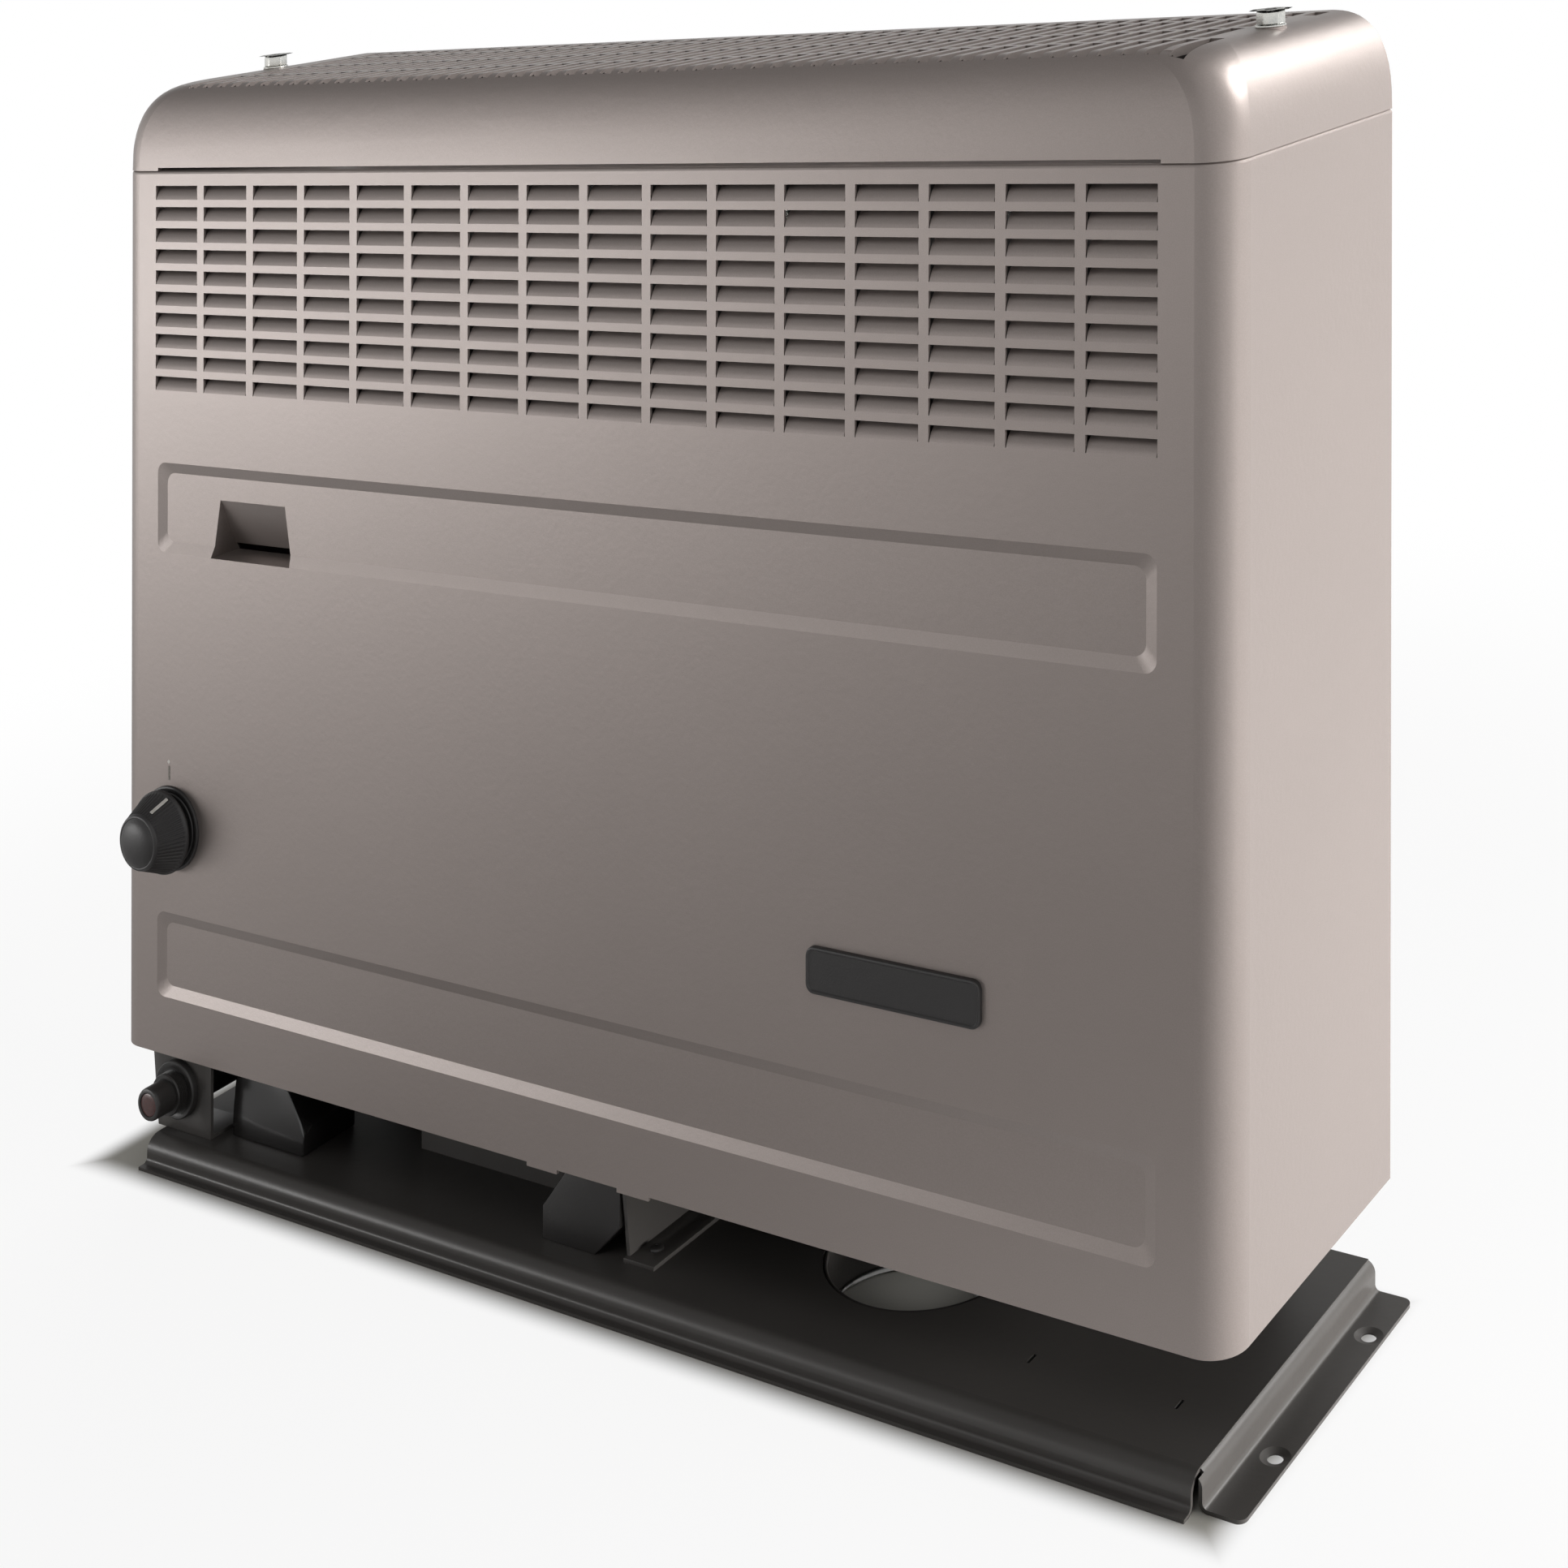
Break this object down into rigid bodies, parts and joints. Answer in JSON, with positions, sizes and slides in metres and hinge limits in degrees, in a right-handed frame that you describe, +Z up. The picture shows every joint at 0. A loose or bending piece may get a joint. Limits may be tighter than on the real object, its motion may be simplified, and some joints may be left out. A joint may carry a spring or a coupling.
{
  "type": "caravan gas heater",
  "caption": "Slim wall-standing caravan gas heater: louvred and slotted sheet-metal case on a flanged tray, with a push-and-turn knob and an igniter button.",
  "frame": {"origin": "bottom centre of the part's box: on the floor under the middle of its width and depth", "axes": "+Z up, -Y out of the louvred front, +X to the right of someone who looks at the front"},
  "size_m": [0.497, 0.1302, 0.4211],
  "materials": {
    "cladding": "satin metallic",
    "bright_zinc": "bright zinc",
    "bright_steel": "plain sheet steel",
    "black_enamel": "satin enamel",
    "gloss_black": "gloss",
    "satin_black": "satin",
    "knob_black": "fine satin",
    "dull_red": "dull red",
    "cast_alloy": "as cast",
    "heat_iron": "heat darkened",
    "fibre_seal": "fibre",
    "brass_fitting": "machined",
    "copper_line": "copper",
    "ceramic_white": "glazed",
    "sight_window": "clear"
  },
  "bodies": {
    "heater": {"front_housing": "cladding", "top_grille": "cladding", "lid_screws": "bright_zinc", "housing_clips": "bright_zinc", "lid_brackets": "bright_zinc", "rim_bolts": "bright_zinc", "flue_clamp": "bright_zinc", "valve_spring": "bright_zinc", "igniter_spring": "bright_zinc", "sensor_clips": "bright_zinc", "duct_collar": "bright_steel", "flue_spigot": "bright_steel", "valve_bracket": "bright_steel", "gas_inlet_pipe": "bright_steel", "burner_pipe": "bright_steel", "exchanger_foot": "bright_steel", "burner_tube": "bright_steel", "base_tray": "black_enamel", "rear_frame": "black_enamel", "igniter_bracket": "black_enamel", "support_bracket": "black_enamel", "burner_chamber": "black_enamel", "pilot_box": "gloss_black", "sight_box": "satin_black", "tray_screws": "satin_black", "igniter_body": "satin_black", "igniter_nut": "satin_black", "knob_bezel": "knob_black", "name_plate": "knob_black", "gas_valve": "cast_alloy", "exchanger_front": "heat_iron", "exchanger_rear": "heat_iron", "exchanger_gasket": "fibre_seal", "inlet_nut": "brass_fitting", "gas_jet": "brass_fitting", "pilot_burner": "brass_fitting", "thermocouple": "copper_line", "room_sensor": "copper_line", "ignition_electrode": "ceramic_white", "sight_glass": "sight_window"},
    "plunger": {"valve_plunger": "cast_alloy"},
    "knob": {"control_knob": "knob_black", "knob_spindle": "bright_zinc"},
    "button": {"igniter_button": "satin_black", "button_disc": "dull_red"}
  },
  "joints": [
    {"name": "knob_push", "type": "slide", "parent": "heater", "child": "plunger", "axis": [0, 1, 0], "range_m": [0, 0.0025], "stiffness_N_per_m": 900, "springref_m": -0.004, "deforming": ["valve_spring"]},
    {"name": "knob_turn", "type": "hinge", "parent": "plunger", "child": "knob", "pos_m": [-0.217, -0.0467, 0.1281], "axis": [0, 1, 0], "range_deg": [0, 270]},
    {"name": "igniter_push", "type": "slide", "parent": "heater", "child": "button", "axis": [0, 1, 0], "range_m": [0, 0.004], "stiffness_N_per_m": 1200, "springref_m": -0.003, "deforming": ["igniter_spring"]}
  ]
}
